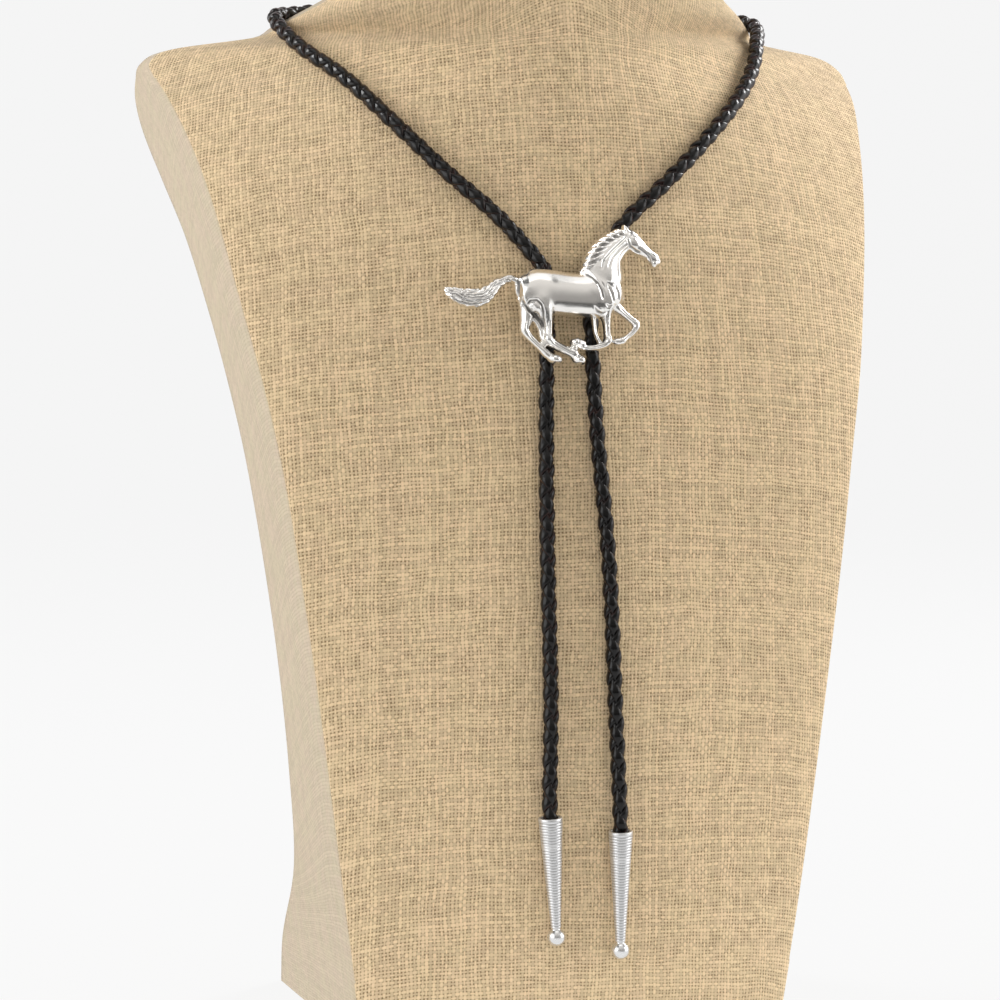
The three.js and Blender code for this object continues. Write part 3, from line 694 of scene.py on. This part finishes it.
# Lines cut into the casting: depth and half breadth as shares of the length, then their places
horse_cuts = [
    (0.010, 0.0060, [(0.636, 0.392), (0.662, 0.368), (0.684, 0.338), (0.698, 0.302),
                     (0.706, 0.266)]),
    (0.010, 0.0060, [(0.334, 0.370), (0.332, 0.312), (0.342, 0.268), (0.366, 0.232),
                     (0.400, 0.206), (0.432, 0.180), (0.440, 0.150)]),
    (0.010, 0.0052, [(0.362, 0.246), (0.376, 0.264), (0.400, 0.264), (0.420, 0.244),
                     (0.430, 0.214), (0.434, 0.170)]),
    (0.007, 0.0045, [(0.362, 0.246), (0.368, 0.226), (0.392, 0.210), (0.416, 0.206)]),
    (0.007, 0.0040, [(0.838, 0.555), (0.801, 0.522), (0.752, 0.480), (0.716, 0.443),
                     (0.707, 0.404)]),
    (0.006, 0.0040, [(0.832, 0.516), (0.794, 0.488), (0.757, 0.452), (0.736, 0.408)]),
    (0.006, 0.0040, [(0.846, 0.505), (0.816, 0.480), (0.790, 0.444), (0.784, 0.406),
                     (0.788, 0.362)]),
    (0.008, 0.0042, [(0.728, 0.330), (0.744, 0.292), (0.756, 0.252)]),
    (0.007, 0.0040, [(0.762, 0.330), (0.778, 0.296), (0.780, 0.262)]),
    (0.006, 0.0036, [(0.716, 0.250), (0.730, 0.236), (0.750, 0.244)]),
    (0.007, 0.0035, [(0.838, 0.545), (0.848, 0.512), (0.874, 0.490), (0.900, 0.480)]),
    (0.006, 0.0030, [(0.858, 0.556), (0.874, 0.546), (0.900, 0.528)]),
    (0.006, 0.0030, [(0.932, 0.478), (0.941, 0.458), (0.946, 0.440)]),
    (0.005, 0.0028, [(0.976, 0.440), (0.962, 0.444), (0.955, 0.450)]),
    (0.006, 0.0028, [(0.834, 0.600), (0.842, 0.575), (0.846, 0.560)]),
    (0.007, 0.0042, [(0.664, 0.236), (0.680, 0.216), (0.704, 0.206), (0.726, 0.216)]),
    (0.006, 0.0030, [(0.728, 0.200), (0.731, 0.145), (0.733, 0.105)]),
    (0.006, 0.0030, [(0.462, 0.180), (0.462, 0.135), (0.461, 0.105)]),
    (0.006, 0.0028, [(0.478, 0.088), (0.528, 0.058), (0.570, 0.036)]),
    (0.006, 0.0028, [(0.714, 0.074), (0.668, 0.064), (0.620, 0.066)]),
    (0.006, 0.0028, [(0.792, 0.234), (0.828, 0.205), (0.862, 0.175)]),
    (0.006, 0.0028, [(0.866, 0.150), (0.834, 0.117), (0.800, 0.096)]),
    (0.006, 0.0028, [(0.370, 0.195), (0.362, 0.152), (0.384, 0.108), (0.430, 0.064)]),
    (0.007, 0.0026, [(0.590, 0.078), (0.600, 0.100)]),
    (0.007, 0.0026, [(0.584, 0.014), (0.602, 0.028)]),
    (0.007, 0.0026, [(0.470, 0.022), (0.482, 0.036)]),
]
tail_line = [(0.340, 0.352), (0.292, 0.371), (0.247, 0.350), (0.210, 0.318), (0.166, 0.290),
             (0.118, 0.286), (0.070, 0.297), (0.030, 0.314), (0.004, 0.332)]
cut_share = 0.75
cut_ease = 0.015
lip_share = 0.12
lip_off = 2.4
darkest_depth = 0.009
facing_gain = 1.6
hair_height = 0.0045
hair_waves = 520
fine_hair_waves = 760
tail_root = 0.335
tail_ease = 0.03
notch_length = 0.036
notch_breadth = 0.0042
notch_depth = 0.007
# Small raised forms and pits: along, up, half sizes, turn in radians, height
horse_knobs = [
    (0.394, 0.238, 0.026, 0.012, -0.75, 0.007), (0.866, 0.542, 0.009, 0.006, -0.6, 0.005),
    (0.984, 0.446, 0.005, 0.004, 0.0, -0.006), (0.868, 0.520, 0.024, 0.020, 0.0, 0.006),
    (0.734, 0.092, 0.016, 0.014, 0.0, 0.004), (0.460, 0.103, 0.016, 0.014, 0.0, 0.004),
    (0.587, 0.088, 0.018, 0.014, 0.3, 0.006), (0.604, 0.008, 0.020, 0.013, -0.5, 0.006),
    (0.490, 0.014, 0.018, 0.013, -0.3, 0.006), (0.668, 0.320, 0.026, 0.050, 0.3, 0.005),
    (0.468, 0.290, 0.032, 0.085, 0.08, 0.0032),
]


def limb_rings(part_rows):
    """Half oval rings across a part's own line, eased through its listed rows"""
    table = np.array(part_rows)
    slopes = np.gradient(table, axis=0)
    fine = []
    for step in np.linspace(0, len(table) - 1, limb_substeps * (len(table) - 1) + 1):
        i = min(int(step), len(table) - 2)
        fine.append(eased(step - i, table[i], table[i + 1], slopes[i], slopes[i + 1]))
    fine = np.array(fine)
    ways = np.gradient(fine[:, :2], axis=0)
    ways /= np.linalg.norm(ways, axis=1)[:, None]
    # The ends are closed by rings that shrink to a rounded nose
    shaped = [(fine[0], ways[0], push, shrink) for push, shrink in end_rings]
    shaped += [(row, way, 0, 1) for row, way in zip(fine, ways)]
    shaped += [(fine[-1], ways[-1], -push, shrink) for push, shrink in reversed(end_rings)]
    rings = []
    for row, way, push, shrink in shaped:
        along, up = row[:2] + way * push * row[2] - np.array(horse_middle)
        half, rise = row[2] * shrink, row[3] * shrink
        ring = []
        for k in range(limb_sides):
            turn = math.tau * k / limb_sides
            aside = half * math.cos(turn)
            depth = -rise * max(math.sin(turn), 0)
            ring.append(Vector((along - way[1] * aside, horse_back / horse_length + depth,
                                up + way[0] * aside)) * horse_length)
        rings.append(ring)
    return rings


def shaped_horse():
    """The horse's parts grown together into one skin"""
    body = bmesh.new()
    for part_rows in horse_parts.values():
        closed_tube(body, limb_rings(part_rows))
    for along, up, long, broad, rise, turn in mane_locks:
        middle = Vector((along - horse_middle[0], 0, up - horse_middle[1])) * horse_length
        place = Matrix.Translation(middle + Vector((0, horse_back, 0)))
        size = Matrix.Diagonal((long * horse_length, rise * horse_length, broad * horse_length, 1))
        bmesh.ops.create_icosphere(body, subdivisions=3, radius=1,
                                   matrix=place @ Matrix.Rotation(-turn, 4, "Y") @ size)
    bmesh.ops.recalc_face_normals(body, faces=body.faces[:])
    data = bpy.data.meshes.new("horse shape")
    body.to_mesh(data)
    body.free()
    rough = bpy.data.objects.new("horse shape", data)
    scene.collection.objects.link(rough)
    remesh = rough.modifiers.new("grow together", "REMESH")
    remesh.mode = "VOXEL"
    remesh.voxel_size = skin_cell
    evaluated = rough.evaluated_get(bpy.context.evaluated_depsgraph_get())
    grown = bmesh.new()
    grown.from_mesh(evaluated.to_mesh())
    evaluated.to_mesh_clear()
    bpy.data.objects.remove(rough)
    bpy.data.meshes.remove(data)
    return grown


def smoothed(mesh, verts, rounds):
    for _ in range(rounds):
        bmesh.ops.smooth_vert(mesh, verts=verts, factor=0.5, use_axis_x=True,
                              use_axis_y=True, use_axis_z=True)


def turned_off(places, middle, turn):
    """How far the places lie from a middle, along a turned direction and across it"""
    off = places - np.array(middle)
    return (off[:, 0] * math.cos(turn) + off[:, 1] * math.sin(turn),
            off[:, 1] * math.cos(turn) - off[:, 0] * math.sin(turn))


def line_distance(places, line):
    """Distance of each place from a line of points, its run along the line, and the whole run"""
    best = np.full(len(places), 1e9)
    run = np.zeros(len(places))
    gone = 0.0
    for a, b in zip(line[:-1], line[1:]):
        a, b = np.array(a), np.array(b)
        span = b - a
        t = np.clip(((places - a) @ span) / (span @ span), 0, 1)
        away = np.linalg.norm(places - a - t[:, None] * span, axis=1)
        closer = away < best
        best[closer] = away[closer]
        run[closer] = (gone + t * np.linalg.norm(span))[closer]
        gone += np.linalg.norm(span)
    return best, run, gone


horse = shaped_horse()
smoothed(horse, horse.verts[:], skin_rounds)
trunk = [v for v in horse.verts
         if trunk_along[0] < v.co.x / horse_length + horse_middle[0] < trunk_along[1]
         and trunk_up[0] < v.co.z / horse_length + horse_middle[1] < trunk_up[1]
         and v.co.y < horse_back - trunk_rise * horse_length]
smoothed(horse, trunk, trunk_rounds)
horse.normal_update()
spots = np.array([v.co for v in horse.verts])
ways = np.array([v.normal for v in horse.verts])
flat = np.stack([spots[:, 0] / horse_length + horse_middle[0],
                 spots[:, 2] / horse_length + horse_middle[1]], axis=1)
facing = np.clip(-ways[:, 1] * facing_gain, 0, 1)
relief = np.zeros(len(spots))
patina_and_shade = np.zeros(len(spots))
# Each cut eases in and out at its ends and has a low raised lip along it
for depth, breadth, line in horse_cuts:
    away, run, whole = line_distance(flat, line)
    ease = np.clip(np.minimum(run, whole - run) / cut_ease + 0.25, 0, 1)
    cut = np.exp(-(away / breadth) ** 2) * ease
    lip = np.exp(-((away - lip_off * breadth) / breadth) ** 2) * ease
    relief -= cut_share * depth * cut
    relief += lip_share * depth * lip
    # Partly patina, partly painted shade: the deeper the cut, the darker its colour
    patina_and_shade = np.maximum(patina_and_shade, cut * min(depth / darkest_depth, 1))
for along, up, long, broad, turn, height in horse_knobs:
    u, v = turned_off(flat, (along, up), turn)
    form = np.exp(-((u / long) ** 2 + (v / broad) ** 2) ** 1.5)
    relief += height * form
    # Pits are darkened too, partly patina and partly painted shade
    if height < 0:
        patina_and_shade = np.maximum(patina_and_shade, form)
# Hair of the tail runs along it in waves that split and join
away, run, _ = line_distance(flat, tail_line)
tail_along, tail_up = zip(*reversed(tail_line))
signs = np.sign(flat[:, 1] - np.interp(flat[:, 0], tail_along, tail_up))
across = signs * away
hair = 0.7 * np.sin(
    across * hair_waves + 2.4 * np.sin(run * 34) + 1.4 * np.sin(run * 71 + 1.0))
hair += 0.5 * np.sin(
    across * fine_hair_waves - 2.0 * np.sin(run * 52 + 2.0) + 90 * run * signs)
on_tail = (np.clip((tail_root - flat[:, 0]) / tail_ease, 0, 1)
           * np.clip((run - 0.01) / tail_ease, 0, 1))
relief += hair_height * hair * on_tail
# Partly patina, partly painted shade in the hollows between the tail's waves
patina_and_shade = np.maximum(patina_and_shade, np.clip(-hair, 0, 1) * on_tail * 0.9)
# A notch between each two locks of the mane
for a, b in zip(mane_locks[:-1], mane_locks[1:]):
    u, v = turned_off(flat, ((a[0] + b[0]) / 2, (a[1] + b[1]) / 2), (a[5] + b[5]) / 2)
    notch = np.exp(-(u / notch_length) ** 4 - (v / notch_breadth) ** 2)
    relief -= notch_depth * notch
    # Partly patina, partly painted shade in the notch
    patina_and_shade = np.maximum(patina_and_shade, 0.8 * notch)
moved = spots + ways * (relief * facing * horse_length)[:, None]
tone_layer = horse.verts.layers.float.new("patina_and_shade")
for vert, spot, tone in zip(horse.verts, moved, patina_and_shade * facing):
    vert.co = spot
    vert[tone_layer] = tone
horse.transform(slide_place)

bright_silver = (0.93, 0.912, 0.885)
patina_and_shade_silver = (0.24, 0.23, 0.22)
silver = Finish("polished silver casting", bright_silver, 0.2, 1.0)
patina_and_shade_tone = silver.number("ShaderNodeAttribute", {"attribute_name": "patina_and_shade"}, output=2)
silver_place = silver.place()
silver_cloud = silver.noise(silver_place, 260, 2)
# The casting darkens in its lines and hollows: partly patina, partly painted shade
silver.feed("Base Color", silver.blend(
    silver.ramp(patina_and_shade_tone, 0.15, 0.95), bright_silver, patina_and_shade_silver))
silver.feed("Roughness", silver.ramp(patina_and_shade_tone, 0.0, 1.0, 0.18, 0.42) + silver_cloud * 0.06)
silver.bump(silver.noise(silver_place, 900, 2), 0.00003, 0.35)
horse_piece = finished_piece("running_horse_slide", horse, silver.material)
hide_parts("horse_slide")
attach(horse_piece, "root")

# Slide clasp: two plain sleeves of drawn metal with a flat web between them, soldered to the
# back of the casting and tumbled to a satin finish. The cord runs up through both sleeves.
clasp_finish = Finish("satin clasp metal", (0.62, 0.62, 0.61), 0.34, 1.0)
clasp_cloud = clasp_finish.noise(clasp_finish.place(), 500, 3)
clasp_finish.feed("Roughness", clasp_finish.ramp(clasp_cloud, 0.3, 0.7, 0.28, 0.42))
clasp_finish.bump(clasp_finish.noise(clasp_finish.place(), 3000, 2), 0.00002, 0.4)
clasp_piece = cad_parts["slide_clasp"]
clasp_piece.data.materials.clear()
clasp_piece.data.materials.append(clasp_finish.material)
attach(clasp_piece, "root")

# Cord tips: two cones of bright metal, each turned on a lathe with close rings like a wound coil,
# a collar at its mouth and a polished ball at its end. The cord's ends are glued into them.
tip_length = 0.0402
tip_mouth = 0.0074
tip_neck = 0.0031
tip_ball = 0.0056
tip_bore = 0.0029
bore_depth = 0.24 * tip_length
collar_height = 0.035 * tip_length
coil_end = 0.86 * tip_length
coil_turns = 38
groove = 0.00012
# Depth as a share of the groove's, and how far down one turn of the coil
turn_shape = [(1.0, 0.0), (0.2, 0.16), (0.0, 0.5), (0.2, 0.84)]
rim_round = 0.0001
ball_neck = 0.45 * tip_neck
ball_steps = 12
tip_steps = 48
# Where the middle of each mouth is, and the tip's lean back and aside in radians
tip_places = {
    "tip_left": (Vector((-0.01509, -0.06727, 0.073500)), 0.06, -0.071),
    "tip_right": (Vector((0.007265, -0.06750, 0.068450)), 0.06, -0.019),
}


def tip_outline():
    """Half outline of a tip, from the bottom of its bore round to the end of its ball"""
    outline = [(0, -bore_depth), (tip_bore, -bore_depth), (tip_bore, -3 * rim_round),
               (tip_bore + rim_round, 0), (tip_mouth / 2 - rim_round, 0),
               (tip_mouth / 2, -rim_round), (tip_mouth / 2, rim_round - collar_height),
               (tip_mouth / 2 - rim_round, -collar_height)]
    pitch = (coil_end - collar_height) / coil_turns
    for i in range(coil_turns):
        crest = (tip_mouth + (tip_neck - tip_mouth) * (i + 0.5) / coil_turns) / 2
        top = -collar_height - i * pitch
        for inward, down in turn_shape:
            outline.append((crest - inward * groove, top - down * pitch))
    ball_middle = tip_ball / 2 - tip_length
    start = math.asin(ball_neck / (tip_ball / 2))
    outline.append((ball_neck, -coil_end))
    for i in range(ball_steps + 1):
        turn = start + (math.pi - start) * i / ball_steps
        across = 0 if i == ball_steps else math.sin(turn) * tip_ball / 2
        outline.append((across, ball_middle + math.cos(turn) * tip_ball / 2))
    return outline


def spun(outline, steps, start=0.0, angle=math.tau):
    """Mesh spun round the upright axis from a line of places across and up"""
    mesh = bmesh.new()
    verts = [mesh.verts.new((across, 0, up)) for across, up in outline]
    edges = [mesh.edges.new(pair) for pair in zip(verts[:-1], verts[1:])]
    bmesh.ops.rotate(mesh, cent=(0, 0, 0), matrix=Matrix.Rotation(start, 3, "Z"), verts=verts)
    bmesh.ops.spin(mesh, geom=verts + edges, cent=(0, 0, 0), axis=(0, 0, 1), angle=angle,
                   steps=steps, use_merge=angle == math.tau)
    bmesh.ops.remove_doubles(mesh, verts=mesh.verts[:], dist=1e-6)
    return mesh


tip_colour = (0.73, 0.73, 0.735)
groove_shade_colour = (0.22, 0.22, 0.225)
tip_finish = Finish("bright tip metal", tip_colour, 0.4, 0.9)
# Painted shade: the bottom of each turn of the coil's groove is coloured darker
groove_shade_tone = tip_finish.number("ShaderNodeAttribute", {"attribute_name": "groove"}, output=2)
tip_finish.feed("Base Color", tip_finish.blend(groove_shade_tone, tip_colour, groove_shade_colour))
tip_cloud = tip_finish.noise(tip_finish.place(), 400, 2)
tip_finish.feed("Roughness", tip_finish.ramp(tip_cloud, 0.3, 0.7, 0.36, 0.44))
tip_finish.bump(tip_finish.noise(tip_finish.place(), 2500, 2), 0.00002, 0.3)
ball_finish = Finish("polished tip ball", (0.80, 0.80, 0.80), 0.26, 0.95)
ball_cloud = ball_finish.noise(ball_finish.place(), 600, 2)
ball_finish.feed("Roughness", ball_finish.ramp(ball_cloud, 0.3, 0.7, 0.22, 0.30))
for node, (place, lean_back, lean_aside) in tip_places.items():
    tip = spun(tip_outline(), tip_steps)
    for face in tip.faces:
        face.material_index = int(all(v.co.z < -coil_end + 1e-5 for v in face.verts))
    # Marks the vertices at the bottom of each groove, where the painted shade goes
    groove_shade_layer = tip.verts.layers.float.new("groove")
    for vert in tip.verts:
        turns = (-vert.co.z - collar_height) / (coil_end - collar_height) * coil_turns
        outside = vert.co.xy.length > tip_bore + 2 * rim_round or vert.co.z < -bore_depth
        in_groove = abs(turns - round(turns)) < 0.05 and -0.5 < turns < coil_turns
        vert[groove_shade_layer] = float(outside and in_groove)
    tip.transform(Matrix.Translation(place) @ Matrix.Rotation(lean_back, 4, "X")
                  @ Matrix.Rotation(lean_aside, 4, "Y"))
    tip_piece = finished_piece(node + "_cone", tip, tip_finish.material, ball_finish.material)
    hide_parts(node)
    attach(tip_piece, "root")

# Studio: a round white floor that curves up into a wall all round, soft lamps at both sides, and
# a grey flat that arches from the floor in front to over the bust. The flat glows by itself though
# it is no lamp, brighter towards its top and nearly dark at its foot. It lights the bust, and the
# polished metal reflects it, but the camera doesn't see it and it casts no shadow.
floor_radius = 2.2
sweep_radius = 1.0
wall_top = 3.0
curve_parts = 12
sweep_steps = 96
sweep_line = [(0.0, 0.0), (floor_radius, 0.0)]
for i in range(1, curve_parts + 1):
    turn = math.pi / 2 * i / curve_parts
    sweep_line.append((floor_radius + sweep_radius * math.sin(turn),
                       sweep_radius - sweep_radius * math.cos(turn)))
sweep_line.append((floor_radius + sweep_radius, wall_top))
sweep = spun(sweep_line, sweep_steps)
paper = Finish("lit white paper sweep", (0.06, 0.06, 0.06), 0.9)
paper.plain("Specular IOR Level", 0.0)
paper.plain("Emission Color", (1.0, 1.0, 1.0, 1))
paper.plain("Emission Strength", 0.87)
paper.material.cycles.emission_sampling = "NONE"
sweep_piece = finished_piece("studio_sweep", sweep, paper.material)

flat_turn = math.radians(84)
flat_start = 0.30
flat_middle = (0.45, 0.853)
flat_reach = (1.05, 0.85)
flat_lift = 0.003
flat_parts = 24
flat_line = [(flat_start, flat_lift), (flat_middle[0] - 0.01, flat_lift)]
for i in range(flat_parts + 1):
    turn = math.pi * (i / flat_parts - 0.5)
    flat_line.append((flat_middle[0] + flat_reach[0] * math.cos(turn),
                      flat_middle[1] + flat_reach[1] * math.sin(turn)))
grey_flat = spun(flat_line, flat_parts, -(math.pi + flat_turn) / 2, flat_turn)
grey = Finish("grey flat", (0.05, 0.05, 0.05), 0.9)
grey.plain("Specular IOR Level", 0.0)
grey.plain("Emission Strength", 1.0)
flat_x, flat_y, flat_up = grey.parts(grey.place())
flat_out = (flat_x ** 2 + flat_y ** 2).root()
# The flat's own glow: brighter towards its top and nearly dark along its foot near the bust
rising_light = grey.ramp(flat_up, 0.0, 1.5, 0.27, 0.72)
dark_foot = grey.ramp(flat_out + flat_up, 0.47, 0.53, 0.03, 1.0)
flat_light = rising_light * dark_foot
grey.feed("Emission Color", grey.vector(flat_light, flat_light * 0.965, flat_light * 0.92))
grey.material.cycles.emission_sampling = "NONE"
flat_piece = finished_piece("grey_flat", grey_flat, grey.material)
flat_piece.visible_camera = False
flat_piece.visible_shadow = False

world = bpy.data.worlds.new("soft light")
world.use_nodes = True
world.node_tree.nodes["Background"].inputs["Color"].default_value = (1.0, 0.995, 0.985, 1)
world.node_tree.nodes["Background"].inputs["Strength"].default_value = 0.08
scene.world = world
lamp_aim = Vector((0, 0, 0.2))
# Name, place, width in metres, power in watts, colour
lamps = [
    ("overhead panel", (0.0, -0.06, 1.6), 1.3, 5.4, (1.0, 0.995, 0.985)),
    ("low front lamp", (0.05, -0.95, 0.05), 0.5, 1.6, (1.0, 0.985, 0.96)),
    ("left lamp", (-1.7, -0.5, 0.35), 1.4, 11, (1.0, 0.99, 0.975)),
    ("right lamp", (1.5, -0.5, 0.35), 1.4, 11, (1.0, 0.99, 0.975)),
    ("right back lamp", (1.3, 0.5, 1.1), 0.7, 20, (1.0, 1.0, 1.0)),
    ("left back lamp", (-1.2, 0.6, 1.2), 0.7, 14, (1.0, 1.0, 1.0)),
]
for name, place, width, power, colour in lamps:
    data = bpy.data.lights.new(name, "AREA")
    data.shape = "SQUARE"
    data.size = width
    data.energy = power
    data.color = colour
    lamp = bpy.data.objects.new(name, data)
    lamp.location = place
    lamp.rotation_euler = (lamp_aim - Vector(place)).to_track_quat("-Z", "Y").to_euler()
    lamp.visible_glossy = name != "low front lamp"
    lamp.visible_diffuse = name != "overhead panel"
    scene.collection.objects.link(lamp)
scene.cycles.max_bounces = 4
scene.cycles.diffuse_bounces = 2
scene.cycles.glossy_bounces = 3
